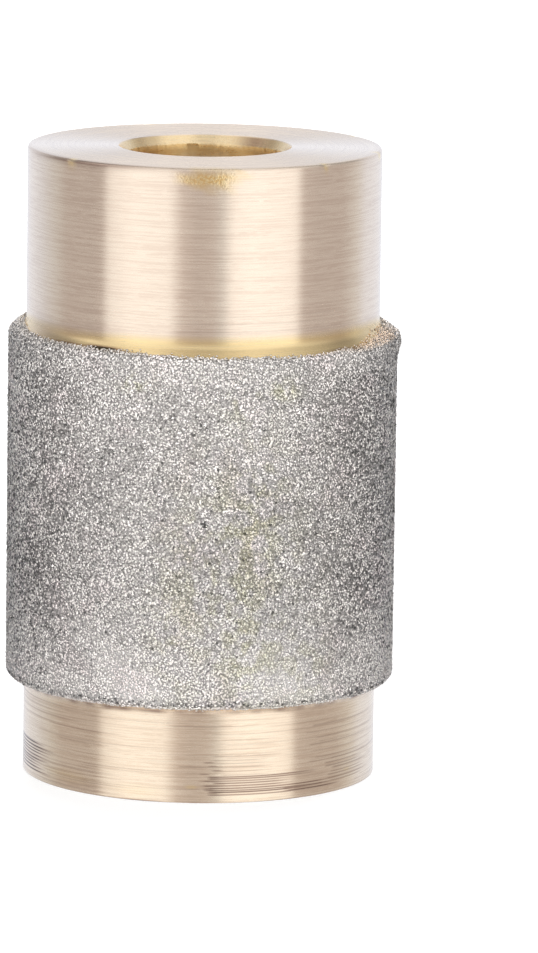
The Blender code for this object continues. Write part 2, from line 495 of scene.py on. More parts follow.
# Packs of deep grooves: the angle they start from, how far they run, lowest and highest, how many,
# depth, and the dirt and painted shade in them
groovePacks = {
    "front right": (2, 42, 0.42, 1.3, 9, 0.006, 1.05),
    "front right darkest": (26, 26, 0.45, 0.72, 3, 0.006, 0.95),
    "front right start": (1, 5, 0.5, 2.0, 9, 0.003, 0.75),
    "front right upper": (4, 26, 1.4, 2.3, 6, 0.004, 0.45),
    "front middle": (6, 24, 2.2, 3.1, 5, 0.004, 0.3),
    "right": (46, 30, 0.6, 1.7, 8, 0.005, 0.55),
    "right high": (38, 42, 1.9, 3.5, 6, 0.004, 0.4),
    "left": (-94, 42, 0.45, 1.8, 10, 0.008, 1.5),
    "left low": (-62, 42, 0.2, 1.3, 7, 0.004, 0.3),
    "left high": (-86, 50, 3.2, 4.1, 4, 0.004, 0.4),
    "back": (120, 90, 0.4, 2.4, 9, 0.006, 0.8),
    "back high": (-170, 80, 2.6, 3.8, 5, 0.004, 0.4),
    "neck scratches": (-10, 80, 23.0, 23.7, 3, 0.003, 0.2),
    "neck scratches left": (-66, 44, 23.15, 23.5, 2, 0.008, 0.0),
    "neck scratches behind": (160, 120, 23.1, 23.6, 3, 0.003, 0.25),
}
packWidth = (0.026, 0.042)
strayGrooves = {"count": 150, "run": (12, 70), "depth": (0.001, 0.003), "width": (0.018, 0.032), "dirtAndShade": (0.0, 0.4)}

landStep = bit["landRadius"] - hub["shoulderRadius"]
filletRise = hub["landFillet"] * math.tan(math.radians(22.5))
filletRun = hub["landFillet"] * (1 - math.cos(math.radians(45)))


# The hub's closed outline as radius and height, from the mouth of the bore out and down the outside.
# Straight runs and arcs follow each other, and each stops short of the next one's first point.
def hubOutline():
    shoulder, wall, top, land = hub["shoulderRadius"], hub["boreRadius"], bit["height"], bit["landRadius"]
    mouth, chamfer = wall + hub["boreChamfer"][0], hub["boreChamfer"][1]
    rim, foot, fillet = hub["rimBreak"], hub["footBreak"], hub["landFillet"]
    high, low = hub["landTop"], hub["landBottom"]
    scratchLow, scratchHigh = hub["scratchZone"]
    return np.concatenate([
        straight((mouth, top), (shoulder - rim, top), 0.35),
        bend((shoulder - rim, top - rim), rim, 90, 0, 6),
        straight((shoulder, top - rim), (shoulder, scratchHigh), hub["neckSpacing"]),
        straight((shoulder, scratchHigh), (shoulder, scratchLow), hub["scratchSpacing"]),
        straight((shoulder, scratchLow), (shoulder, high + filletRise), 0.1),
        bend((shoulder + fillet, high + filletRise), fillet, 180, 225, 8),
        straight((shoulder + filletRun, high - filletRun), (land, high - landStep), 0.045),
        straight((land, high - landStep), (land, low + landStep), 6),
        straight((land, low + landStep), (shoulder + filletRun, low + filletRun), 0.1),
        bend((shoulder + fillet, low - filletRise), fillet, 135, 180, 6),
        straight((shoulder, low - filletRise), (shoulder, foot), hub["footSpacing"]),
        bend((shoulder - foot, foot), foot, 0, -90, 4),
        straight((shoulder - foot, 0), (mouth, 0), 0.8),
        straight((mouth, 0), (wall, chamfer), 0.1),
        straight((wall, chamfer), (wall, top - chamfer - 0.25), 2.0),
        straight((wall, top - chamfer - 0.25), (wall, top - chamfer), 0.25),
        straight((wall, top - chamfer), (mouth, top), 0.08),
    ])


# The tool marks' depth, and the dirt and painted shade in them: each groove is a bell across its height. Round the bit
# it starts in a short ramp and ends in a long one.
def grooves(angle, height, random):
    marks = [(
        random.uniform(-180, 180), random.uniform(0.15, 4.15),
        *(random.uniform(*strayGrooves[part]) for part in ("run", "depth", "dirtAndShade", "width")),
    ) for _ in range(strayGrooves["count"])]
    for start, run, low, high, count, deep, dirtAndShade in groovePacks.values():
        for level in np.linspace(low, high, count):
            marks.append((
                start + random.uniform(-1.5, 3), level + random.uniform(-0.02, 0.02), run * random.uniform(0.7, 1.0),
                deep * random.uniform(0.6, 1.0), dirtAndShade * random.uniform(0.7, 1.0), random.uniform(*packWidth),
            ))
    depth = np.zeros(np.broadcast_shapes(angle.shape, height.shape))
    filled = np.zeros_like(depth)
    for start, level, run, deep, dirtAndShade, width in marks:
        gone = degreesApart(angle, start + run / 2) + run / 2
        form = bell(height - level, width) * np.clip(gone / 1.4, 0, 1) * np.clip((run - gone) / (0.3 * run), 0, 1)
        depth += deep * form
        filled = np.maximum(filled, dirtAndShade * form)
    return depth, filled


coating = {
    "columns": 400,
    "rows": 130,
    "thickness": 0.24,
    "bite": 0.04,
    "rough": 0.012,
    "edgeRound": 0.16,
    "spacing": 0.116,
    "jitter": 0.45,
    "size": (0.048, 0.09),
    "stretch": (0.6, 1.45),
    "flat": 0.45,
    "lift": 0.25,
    "edgeLift": 0.05,
    "edgeLight": 0.16,
    "pale": 0.12,
    "tone": 0.715,
    # The spread and shifts of the crystals' tone: at the sides, top, bottom and bottom edge they are painted light and
    # shade, and the patches are the grit's own uneven tone
    "spread": {"plain": 0.34, "sides": 0.27, "top": -0.19},
    "shade": {"sides": -0.12, "top": -0.03, "bottom": 0.38, "bottomEdge": -1.2, "patches": 0.06},
    "pieces": 4,
}
# How far the coating reaches past the land's corners and how far stray grains lie beyond it, by the
# angle round the bit
edgeShape = {
    "angle": [-180, -120, -84, -64, -45, -28, 0, 28, 53, 64, 76, 95, 130, 180],
    "top": [0.40, 0.66, 0.74, 0.44, 0.38, 0.34, 0.17, 0.12, 0.12, 0.34, 0.66, 0.70, 0.55, 0.40],
    "stray": [0.08, 0.08, 0.05, 0.05, 0.07, 0.08, 0.10, 0.09, 0.12, 0.30, 0.12, 0.10, 0.08, 0.08],
    "bottom": [0.55, 0.50, 0.60, 0.50, 0.45, 0.42, 0.40, 0.42, 0.45, 0.55, 0.60, 0.55, 0.50, 0.55],
    "wave": 0.034,
}
# Greenish stains on the grit: angle, height, width in degrees, height of the stain and strength
stains = [
    (14, 12.0, 26, 7.0, 0.25), (14, 7.0, 10, 2.6, 0.4), (6, 12.0, 14, 3.5, 0.3), (-8, 8.0, 6, 3.0, 0.35),
    (16, 14.8, 8, 2.6, 0.35), (35, 6.5, 8, 1.5, 0.35), (12, 19.6, 4, 0.6, 0.8), (-20, 20.6, 5, 0.5, 0.7),
    (24, 20.2, 5, 0.5, 0.7), (170, 9.0, 16, 4.0, 0.6), (-120, 15.0, 12, 3.0, 0.4), (110, 16.0, 9, 3.0, 0.35),
]


# Where the nickel has built up between the crystals: low on the sides, and along the top edge
def paleAt(angle, height):
    uneven = 0.9 + 0.25 * wander(angle + 0.12 * height, np.random.default_rng(8), 3, 14)
    low = np.clip((10.4 - height) / 5, 0, 1) * (1 - 0.8 * bell(degreesApart(angle, 4), 16))
    top = np.clip((height - 20.2) / 1.5, 0, 1) * (0.15 + 0.75 * bell(degreesApart(angle, 62), 25))
    return np.clip(np.maximum(low, top) * uneven, 0, 1)


def greenAt(angle, height):
    return sum(
        strength * bell(degreesApart(angle, middle), wide) * bell(height - level, tall)
        for middle, level, wide, tall, strength in stains
    )


lump = {"angle": 87, "height": 21.4, "width": 7.0, "rise": 0.2, "reach": 0.5}


# The brass under the coating as a path: radius, height and the outward direction, each against the
# length from the top of the upper fillet. The direction is the path's own slope turned a quarter.
def landPath():
    shoulder, land, high, low = hub["shoulderRadius"], bit["landRadius"], hub["landTop"], hub["landBottom"]
    fillet = hub["landFillet"]
    outline = np.concatenate([
        bend((shoulder + fillet, high + filletRise), fillet, 180, 225, 10),
        straight((shoulder + filletRun, high - filletRun), (land, high - landStep), 0.05),
        straight((land, high - landStep), (land, low + landStep), 0.05),
        straight((land, low + landStep), (shoulder + filletRun, low + filletRun), 0.05),
        bend((shoulder + fillet, low - filletRise), fillet, 135, 181, 10),
    ])
    length = np.concatenate([[0], np.cumsum(np.linalg.norm(np.diff(outline, axis=0), axis=1))])
    even = np.linspace(0, length[-1], 1200)
    radius, height = (np.interp(even, length, outline[:, side]) for side in (0, 1))
    slope = np.stack([np.gradient(radius, even), np.gradient(height, even)], axis=-1)
    window = np.ones(15) / 15
    slope = np.stack([
        np.convolve(np.pad(slope[:, side], 7, mode="edge"), window, mode="valid") for side in (0, 1)
    ], axis=-1)
    slope /= np.linalg.norm(slope, axis=1)[:, None]
    return {"length": even, "radius": radius, "height": height, "outR": -slope[:, 1], "outZ": slope[:, 0]}


land = landPath()
topCorner = np.interp(landStep - hub["landTop"], -land["height"], land["length"])
bottomCorner = np.interp(-landStep - hub["landBottom"], -land["height"], land["length"])


def onLand(length, offset, angle):
    at = {key: np.interp(length, land["length"], land[key]) for key in ("radius", "height", "outR", "outZ")}
    return around(at["radius"] + offset * at["outR"], angle, at["height"] + offset * at["outZ"])


def coatingEdges(angle, random):
    degrees = np.degrees(angle)
    wave = edgeShape["wave"]
    top = np.interp(degrees, edgeShape["angle"], edgeShape["top"]) + wave * wander(angle, random, 9, 40)
    bottom = np.interp(degrees, edgeShape["angle"], edgeShape["bottom"]) + wave * wander(angle, random, 9, 40)
    return topCorner - top, bottomCorner + bottom


def hubMesh():
    random = np.random.default_rng(11)
    outline = hubOutline()
    plainRadius, plainHeight = outline[:, 0][:, None], outline[:, 1][:, None]
    angle = np.linspace(-math.pi, math.pi, hub["columns"], endpoint=False)[None, :]
    onWall = (plainRadius > hub["shoulderRadius"] - 0.001) & (plainRadius < hub["shoulderRadius"] + 0.001)
    depth, dirtAndShade = grooves(angle, plainHeight, random)
    radius = plainRadius - depth * onWall
    height = plainHeight + 0 * angle
    dirtAndShade = dirtAndShade * onWall

    # Small dents in the top rim, each a bell round the rim and away from it
    fromRim = np.hypot(plainRadius - hub["shoulderRadius"], plainHeight - bit["height"])
    nickGold = 0
    for middle, deep, width in hub["nicks"]:
        dent = bell(degreesApart(angle, middle), width)
        nickGold = nickGold + np.clip(1.5 * dent, 0, 1) * bell(fromRim - 0.2, hub["nickGold"])
        radius = radius - 0.7 * deep * dent * bell(fromRim, 0.2)
        height = height - 0.7 * deep * dent * bell(fromRim, 0.2)

    # The ragged lower edge of the chamfer in the mouth of the bore
    chamferFoot = bit["height"] - hub["boreChamfer"][1]
    lip = np.hypot(plainRadius - hub["boreRadius"], plainHeight - chamferFoot) < 0.05
    burr = hub["burr"] * random.uniform(-1, 1, (2, 1, hub["columns"]))
    drop = hub["chamferDrop"]
    uneven = 0.03 * wander(angle, random, 3, 9) - drop["depth"] * bell(degreesApart(angle, drop["angle"]), drop["width"])
    height = height + np.where(lip, burr[0] + uneven, 0)
    radius = radius + np.where(lip, 0.5 * burr[1], 0)
    mesh = gridMesh("brassHub", around(radius, angle, height), closedRows=True)

    # Golden where the brass was never polished: the bore, the land's end and a stain on the rim
    inBore = 1.0 * (plainRadius < hub["boreRadius"] + 0.01)
    onChamfer = hub["chamferGold"] * (plainRadius < hub["boreRadius"] + hub["boreChamfer"][0] - 0.01)
    goldTop = hub["landTop"] + hub["goldAbove"] + 0.06 * wander(angle, random, 2, 7)
    nearLand = np.clip((goldTop - plainHeight) / hub["goldFade"], 0, 1) * (plainHeight > hub["landBottom"] + landStep)
    onFoot = hub["footGold"] * (plainHeight < hub["landBottom"] + landStep)
    spot = hub["stain"]
    fromSpot = np.hypot(
        degreesApart(angle, spot["angle"]) / spot["width"], (plainHeight - spot["height"]) / spot["drop"],
    )
    frayed = np.random.default_rng(4)
    ragged = 0.3 * wander(angle + 0.2 * plainHeight, frayed, 20, 50) + 0.2 * wander(angle + 2 * plainHeight, frayed, 9, 14)
    stain = np.clip(1.5 - 1.2 * fromSpot + ragged, 0, 1) * (plainRadius > 8)
    golden = np.maximum(np.maximum(np.maximum(inBore, onChamfer), nearLand), np.maximum(onFoot, stain))
    for middle, level, wide, tall, strength in hub["spots"]:
        spot = strength * bell(degreesApart(angle, middle), wide) * bell(plainHeight - level, tall)
        golden = np.maximum(golden, np.clip(spot * (1 + 0.5 * wander(angle + 3 * plainHeight, random, 20, 50)), 0, 1))
    golden = np.clip(golden + nickGold, 0, 1) * (1 - 0.45 * bell(degreesApart(angle, -66), 16) * nearLand)
    pointValues(mesh, "bare", golden)
    pointValues(mesh, "rough", np.maximum(np.maximum(0.65 * stain, 0.25 * onChamfer), 0.2 * inBore))
    pointValues(mesh, "bore", inBore * (plainHeight < chamferFoot + 0.05) + 0 * angle)
    pointValues(mesh, "coarse", 0 * angle + (plainHeight < hub["landBottom"]))

    # A darker line on the rim's edge, painted shadow along the foot's lower edge, and dirt and painted shade in the
    # corner where the coating starts
    for edge, away in (("rimDarkLine", fromRim - 0.1), ("footPaintedShade", plainHeight + 0 * fromRim)):
        place = hub[edge]
        near = np.maximum(bell(degreesApart(angle, place["angle"]), place["spread"]), place["least"])
        line = bell(away, place["width"]) * near
        dirtAndShade = np.maximum(dirtAndShade, place["strength"] * line * (1 - np.clip(nickGold, 0, 1)))
    start, end = coatingEdges(angle, np.random.default_rng(5))
    above = start - np.interp(-plainHeight, -land["height"], land["length"])
    # A dark line just above the coating's edge is dirt and painted shadow, and the wider darkening of the neck above
    # the land is tarnish and painted shade.
    beside = bell(above - 0.07, hub["seamDirtAndShade"]["width"]) * (plainHeight > bit["height"] / 2)
    aboveLand = bell(plainHeight - hub["landTop"], hub["seamDirtAndShade"]["tarnishAndShade"])
    for middle, spread, strength, dull in seams:
        near = bell(degreesApart(angle, middle), spread)
        dirtAndShade = np.maximum(dirtAndShade, np.maximum(strength * near * beside, dull * near * aboveLand))
    # A patchy dark line on the foot just below the coating: dirt and painted shadow.
    below = hub["landBottom"] + 0.06 - plainHeight
    patchy = np.clip(0.35 + 0.25 * wander(angle, random, 20, 60) + 0.15 * wander(angle, random, 2, 6), 0, 0.75)
    dirtAndShade = np.maximum(dirtAndShade, patchy * bell(below, hub["seamDirtAndShade"]["below"]))
    dirtAndShade = dirtAndShade * (plainRadius > hub["shoulderRadius"] - 0.2)
    place = hub["mouthDirt"]
    mouth = place["strength"] * bell(degreesApart(angle, place["angle"]), place["spread"]) * (onChamfer > 0)
    dirtAndShade = np.maximum(dirtAndShade, mouth * (plainHeight > chamferFoot + 0.01))
    pointValues(mesh, "dirtAndShadeMask", np.clip(dirtAndShade, 0, 0.97))
    return mesh


hole = {"clearance": 0.06, "countersink": 0.2}
hole["radius"] = bit["screwRadius"] + hole["clearance"]
hole["flare"] = math.sqrt(hub["shoulderRadius"] ** 2 - hole["radius"] ** 2) - hole["countersink"]


# The tapped hole's drill as a solid: rows of radius and distance from the bit's axis.
def holeCutter():
    outside = hub["shoulderRadius"] + 0.2
    rows = np.array([
        (0, outside), (hole["radius"] + outside - hole["flare"], outside),
        (hole["radius"], hole["flare"]), (hole["radius"], 0), (0, 0),
    ])
    turn = np.linspace(0, math.tau, 96, endpoint=False)[None, :]
    mesh = gridMesh("tappedHole", alongScrew(rows[:, 0][:, None], turn, rows[:, 1][:, None]), closedRows=False)
    pointValues(mesh, "bare", np.ones(rows.shape[0] * 96))
    closePoles(mesh)
    cutter = bpy.data.objects.new("tappedHole", mesh)
    bpy.context.scene.collection.objects.link(cutter)
    return cutter


def cutHole(piece, cutter):
    cut = piece.modifiers.new("hole", "BOOLEAN")
    cut.operation = "DIFFERENCE"
    cut.solver = "EXACT"
    cut.object = cutter
    evaluated = piece.evaluated_get(bpy.context.evaluated_depsgraph_get())
    mesh = bpy.data.meshes.new_from_object(evaluated)
    piece.modifiers.clear()
    piece.data = mesh
    bpy.data.objects.remove(cutter)
    smoothTo(mesh, 35)


hubPiece = addPiece("brass_hub", hubMesh(), brassMaterial, "hub", "hub")
cutHole(hubPiece, holeCutter())

print("6 set screw and thread")
screw = {
    "columns": 96,
    "pitch": 0.7,
    "root": 1.62,
    "slack": 0.01,
    "spacing": 0.045,
    "chamfer": 0.3,
    "cupChamfer": 0.6,
    "cupRadius": 1.2,
    "cupDepth": 0.4,
    "socketFlats": 2.0,
    "socketDepth": 1.8,
    "drillRadius": 0.95,
    "drillAngle": 59,
}
thread = {"columns": 9, "steps": 40, "peak": 1.68, "from": 4.15, "to": 8.0}


# The height of a thread from 0 at its root to 1 at its crest. It is flat at both, and slopes between.
def threadForm(turn, distance, crestShare, rootShare):
    phase = (distance / screw["pitch"] - turn / math.tau) % 1
    away = np.abs(2 * phase - 1)
    return np.clip((1 - rootShare - away) / (1 - rootShare - crestShare), 0, 1)


# The screw as rows of radius and distance, from the foot of its socket out, down the thread and into
# the cup. The socket's radius is half its width over the cosine of the angle from the nearest flat.
def screwMesh():
    turn = np.linspace(0, math.tau, screw["columns"], endpoint=False)
    crest = bit["screwRadius"] - screw["slack"]
    outer, inner = bit["screwOuter"], bit["screwInner"]
    flat = (turn + math.pi / 6) % (math.pi / 3) - math.pi / 6
    hexagon = screw["socketFlats"] / 2 / np.cos(flat)
    floor = outer - screw["socketDepth"]
    tip = floor - screw["drillRadius"] / math.tan(math.radians(screw["drillAngle"]))
    full = np.ones_like(turn)
    rows = [(0 * full, tip), (0.5 * screw["drillRadius"] * full, (tip + floor) / 2)]
    rows += [(screw["drillRadius"] * full, floor), (hexagon, floor)]
    rows += [(hexagon, level) for level in np.linspace(floor, outer - 0.08, 6)[1:]]
    rows += [(hexagon + 0.03, outer - 0.02), (hexagon + 0.06, outer)]
    for distance in np.arange(outer, inner, -screw["spacing"]):
        form = threadForm(turn, distance, 0.125, 0.25)
        radius = screw["root"] + (crest - screw["root"]) * form
        endTaper = min(crest - screw["chamfer"] + outer - distance,
                       screw["cupRadius"] + (distance - inner) * (crest - screw["cupRadius"]) / screw["cupChamfer"])
        rows.append((np.minimum(radius, endTaper), distance))
    rows += [(screw["cupRadius"] * full, inner), ((screw["cupRadius"] - 0.05) * full, inner)]
    rows += [(0.5 * screw["cupRadius"] * full, inner + 0.55 * screw["cupDepth"]), (0 * full, inner + screw["cupDepth"])]
    points = np.stack([alongScrew(radius, turn, distance * full) for radius, distance in rows])
    mesh = gridMesh("setScrew", points, closedRows=False)
    closePoles(mesh)
    smoothTo(mesh, 32)
    return mesh


# The hub's own thread: one ridge wound along the hole. Its section is a closed ring of points, from a
# wide foot in the wall to a narrow peak, carried along a helix half a pitch from the screw's own.
def threadMesh():
    pitch = screw["pitch"]
    start = thread["from"] / pitch * math.tau
    end = thread["to"] / pitch * math.tau
    turn = np.linspace(start, end, round((end - start) / math.tau * thread["steps"]))[:, None]
    ends = np.clip(np.minimum(turn - start, end - turn) / 1.2, 0.05, 1)
    wall = hole["radius"] + 0.05
    section = np.array([(wall, 0.34), (hole["radius"], 0.31), (thread["peak"], 0.07), (thread["peak"], -0.07),
                        (hole["radius"], -0.31), (wall, -0.34)])
    radius = wall + (section[:, 0] - wall) * ends
    distance = pitch * (turn / math.tau + section[:, 1])
    points = alongScrew(radius, turn, distance)
    count, across = points.shape[:2]
    index = np.arange(count * across).reshape(count, across)
    right = np.roll(index, -1, axis=1)
    faces = np.stack([index[:-1], index[1:], right[1:], right[:-1]], axis=-1).reshape(-1, 4)
    mesh = meshFrom("holeThread", points.reshape(-1, 3), faces)
    work = bmesh.new()
    work.from_mesh(mesh)
    bmesh.ops.holes_fill(work, edges=work.edges, sides=8)
    bmesh.ops.recalc_face_normals(work, faces=work.faces)
    work.to_mesh(mesh)
    work.free()
    pointValues(mesh, "bare", np.ones(len(mesh.vertices)))
    mesh.uv_layers.new(name="surface")
    smoothTo(mesh, 40)
    return mesh


addPiece("set_screw_steel", screwMesh(), steelMaterial, "set_screw", "set_screw")
addPiece("hole_thread", threadMesh(), brassMaterial, "hub")

print("7 diamond coating")
# The nickel bed: a closed band whose outer face rises from nothing at its edges to its full thickness,
# as one minus the exponential of the distance from the edge.
def nickelBed():
    angle = np.linspace(-math.pi, math.pi, coating["columns"], endpoint=False)
    start, end = coatingEdges(angle, np.random.default_rng(5))
    random = np.random.default_rng(6)
    share = np.linspace(0, 1, coating["rows"])
    share = (share - 0.6 * np.sin(math.tau * share) / math.tau)[:, None]
    length = start + (end - start) * share
    fromEdge = np.minimum(length - start, end - length)
    rise = (coating["thickness"] + coating["bite"]) * (1 - np.exp(-fromEdge / coating["edgeRound"]))
    rough = coating["rough"] * random.standard_normal(length.shape) * np.clip(fromEdge / 0.2, 0, 1)
    outer = onLand(length, rise - coating["bite"] + rough, angle)
    back = np.concatenate([np.linspace(1, 0.97, 5), np.linspace(0.03, 0, 5)])[1:-1, None]
    inner = onLand(start + (end - start) * back, -2.5 * coating["bite"], angle)
    points = np.concatenate([outer, inner])
    mesh = gridMesh("nickelBed", points, closedRows=True)
    pointValues(mesh, "green", greenAt(angle, points[:, :, 2]))
    pointValues(mesh, "pale", 0.34 * paleAt(angle, points[:, :, 2]))
    return mesh


tipPoints = np.array([(1, 0, 0), (-0.5, 0.87, 0), (-0.5, -0.87, 0), (0, 0, 1), (0, 0, -1)])
tipFaces = np.array([(0, 1, 3), (1, 2, 3), (2, 0, 3), (1, 0, 4), (2, 1, 4), (0, 2, 4)])


# Turns as 3 by 3 matrices, one for each crystal, from random unit quaternions.
def randomTurns(count, random):
    w, x, y, z = random.standard_normal((4, count))
    size = np.sqrt(w * w + x * x + y * y + z * z)
    w, x, y, z = w / size, x / size, y / size, z / size
    return np.stack([
        np.stack([1 - 2 * (y * y + z * z), 2 * (x * y - z * w), 2 * (x * z + y * w)], axis=-1),
        np.stack([2 * (x * y + z * w), 1 - 2 * (x * x + z * z), 2 * (y * z - x * w)], axis=-1),
        np.stack([2 * (x * z - y * w), 2 * (y * z + x * w), 1 - 2 * (x * x + y * y)], axis=-1),
    ], axis=1)


# Crystals on a staggered grid over the land, moved a little each. A crystal is six faces on five
# tips, pulled in and out at random, stretched, turned and pressed flatter on the land. Past the coating's edge only some are kept.
def gritMeshes():
    random = np.random.default_rng(21)
    spacing = coating["spacing"]
    above = np.stack([land["radius"] + coating["lift"] * land["outR"], land["height"] + coating["lift"] * land["outZ"]])
    way = np.concatenate([[0], np.cumsum(np.linalg.norm(np.diff(above), axis=0))])
    rows = np.interp(np.arange(0.02, way[-1], spacing * 0.866), way, land["length"])
    columns = round(math.tau * bit["landRadius"] / spacing)
    step = math.tau / columns
    length = np.repeat(rows, columns)
    angle = np.tile(np.arange(columns), len(rows)) * step + np.repeat(np.arange(len(rows)) % 2, columns) * step / 2
    angle = angle + random.uniform(-1, 1, angle.shape) * coating["jitter"] * step
    length = length + random.uniform(-1, 1, length.shape) * coating["jitter"] * spacing
    angle = angle % math.tau - math.pi
    start, end = coatingEdges(angle, np.random.default_rng(5))
    past = np.maximum(start - length, length - end)
    stray = np.interp(np.degrees(angle), edgeShape["angle"], edgeShape["stray"])
    stays = np.where(past < 0, 1.0, 0.8 * np.exp(-(past / stray) ** 2))
    keep = random.uniform(0, 1, past.shape) < stays
    length, angle, past = length[keep], angle[keep], past[keep]
    count = len(length)

    height = np.interp(length, land["length"], land["height"])
    raised = lump["rise"] * bell(degreesApart(angle, lump["angle"]), lump["width"])
    raised = raised * bell(height - lump["height"], lump["reach"])
    inward = 1 - np.exp(np.minimum(past, 0) / coating["edgeRound"])
    lift = coating["edgeLift"] + (coating["lift"] - coating["edgeLift"]) * inward
    middle = onLand(length, lift + raised + random.normal(0, 0.012, count), angle)
    size = random.uniform(*coating["size"], count) * np.where(past > 0, 0.8, 1)
    corners = tipPoints * random.uniform(0.75, 1.25, (count, 5, 1)) * random.uniform(*coating["stretch"], (count, 1, 3))
    corners = np.einsum("nij,nkj->nki", randomTurns(count, random), corners) * size[:, None, None]
    outward = onLand(length, 1.0, angle) - onLand(length, 0.0, angle)
    outward = outward[:, None, :]
    corners -= (1 - coating["flat"]) * (corners * outward).sum(axis=-1, keepdims=True) * outward
    points = middle[:, None, :] + corners
    middling = (hub["landTop"] + hub["landBottom"]) / 2
    # The crystals' tones hold painted light and shade: they are darker with more contrast on the sides, lighter towards
    # the top and bottom edges and more so over the lower part, with less contrast along the top, and some along the
    # lower edge are near black, as dark grains and painted shade. The patches are the grit's own uneven tone.
    atSides = np.clip((np.abs(np.degrees(angle)) - 35) / 20, 0, 1)
    atTop = np.clip((height - hub["landTop"] + 2.5) / 1.5, 0, 1)
    atBottom = np.clip((hub["landBottom"] + 3.5 - height) / 3, 0, 1)
    atBottomEdge = bell(length - bottomCorner + 0.02, 0.12) * (random.uniform(0, 1, count) < 0.5)
    patches = wander(angle + 0.12 * height, random, 3, 14) + wander(angle - 0.12 * height, random, 3, 14)
    spread, shade = coating["spread"], coating["shade"]
    tone = (spread["plain"] + spread["sides"] * atSides + spread["top"] * atTop) * random.standard_normal(count)
    tone = tone + coating["tone"] + coating["edgeLight"] * ((height - middling) / 8) ** 2
    tone = tone + coating["pale"] * paleAt(angle, height)
    for key, place in (
        ("sides", atSides), ("top", atTop), ("bottom", atBottom), ("bottomEdge", atBottomEdge),
        ("patches", patches),
    ):
        tone = tone + shade[key] * place
    warm = np.clip((topCorner - length) / 0.1 + 0.8, 0, 1) * np.clip(1.6 * bell(degreesApart(angle, 68), 14), 0, 1)
    tone = np.clip(tone + 0.25 * warm, 0, 1)
    green = greenAt(angle, height) * random.uniform(0.5, 1.4, count) * (1.3 - 0.6 * tone)
    limits = np.linspace(0, count, coating["pieces"] + 1).astype(int)
    for low, high in zip(limits[:-1], limits[1:]):
        faces = (tipFaces[None] + 5 * np.arange(high - low)[:, None, None]).reshape(-1, 3)
        mesh = meshFrom("grit", points[low:high].reshape(-1, 3), faces)
        pointValues(mesh, "tone", np.repeat(tone[low:high], 5))
        pointValues(mesh, "warm", np.repeat(warm[low:high], 5))
        pointValues(mesh, "green", np.repeat(green[low:high], 5))
        yield mesh


bedMesh = nickelBed()
smoothTo(bedMesh, 60)
addPiece("nickel_bed", bedMesh, nickelMaterial, "hub", "diamond_coating")
for number, mesh in enumerate(gritMeshes(), 1):
    addPiece(f"diamond_grit_{number}", mesh, gritMaterial, "hub", "diamond_coating")

print("8 studio")
camera = {
    "frame": (538, 953),
    "distance": 380.98,
    "elevation": 9.715,
    "aimHeight": 15.5,
    "focalPixels": 7779.75,
    "aimPixel": (201.54, 456.44),
    "roll": 0.6857,
}


# The camera looks at the bit's axis, turned so that the aim falls on its own pixel of the frame.
def addCamera():
    lift = math.radians(camera["elevation"])
    aim = Vector((0, 0, camera["aimHeight"])) * mm
    spot = aim + Vector((0, -math.cos(lift), math.sin(lift))) * camera["distance"] * mm
    lens = bpy.data.cameras.new("camera")
    lens.sensor_width = 36
    lens.lens = 36 * camera["focalPixels"] / max(camera["frame"])
    lens.clip_start = 0.01
    lens.clip_end = 10
    across = camera["aimPixel"][0] - camera["frame"][0] / 2
    up = camera["frame"][1] / 2 - camera["aimPixel"][1]
    offAim = Vector((0, 0, -1)).rotation_difference(Vector((across, up, -camera["focalPixels"])))
    roll = Quaternion((0, 0, 1), math.radians(camera["roll"]))
    item = bpy.data.objects.new("camera", lens)
    item.location = spot
    item.rotation_mode = "QUATERNION"
    item.rotation_quaternion = (aim - spot).to_track_quat("-Z", "Y") @ roll @ offAim.inverted()
    bpy.context.scene.collection.objects.link(item)
    bpy.context.scene.camera = item


# What the metal reflects, by the angle round the bit: cards and the gaps between them, as degrees,
# brightness and tint
room = {
    "cards": [
        (-180, 0.88, "cool"), (-148, 0.82, "cool"), (-134, 0.74, "cool"), (-112, 0.62, "plain"),
        (-102, 0.53, "gap"), (-78, 0.51, "gap"), (-70, 0.55, "gap"), (-65, 1.03, "plain"),
        (-48, 1.18, "plain"), (-23, 1.12, "plain"), (-14, 0.66, "gap"), (-4, 0.565, "gap"),
        (6, 0.59, "gap"), (12, 0.68, "plain"), (19, 1.13, "plain"), (32, 1.22, "plain"),
        (62.5, 1.16, "plain"), (68, 0.60, "gap"), (80, 0.55, "gap"), (102, 0.55, "gap"),
        (118, 0.69, "plain"), (131, 0.82, "cool"), (150, 0.84, "cool"), (180, 0.88, "cool"),
    ],
    "tints": {"plain": (1.0, 1.0, 1.0), "gap": (1.0, 0.925, 0.90), "cool": (1.0, 1.06, 1.18)},
    "highCards": [
        (-180, 0.98), (-165, 0.95), (-150, 0.55), (-127, 0.30), (-113, 0.50), (-99, 1.15), (-85, 1.10),
        (-70, 0.95), (-45, 1.08), (-12, 0.90), (10, 0.90), (30, 1.08), (55, 1.05), (70, 1.05), (82, 0.76),
        (97, 0.78), (108, 0.50), (127, 0.33), (145, 0.45), (162, 0.95), (180, 0.98),
    ],
    "zenith": 0.3,
    "blend": (0.28, 0.55),
    "top": (0.955, 0.98),
    "fill": 0.06,
    "range": 2.0,
}


def cardRamp(tree, turn, cards):
    ramp = addNode(tree, "ShaderNodeValToRGB", {0: turn})
    stops = ramp.color_ramp.elements
    stops.remove(stops[-1])
    for number, (degrees, bright, tint) in enumerate(cards):
        stop = stops[0] if number == 0 else stops.new((degrees + 180) / 360)
        stop.color = (*[bright * part / room["range"] for part in tint], 1)
    return ramp.outputs[0]


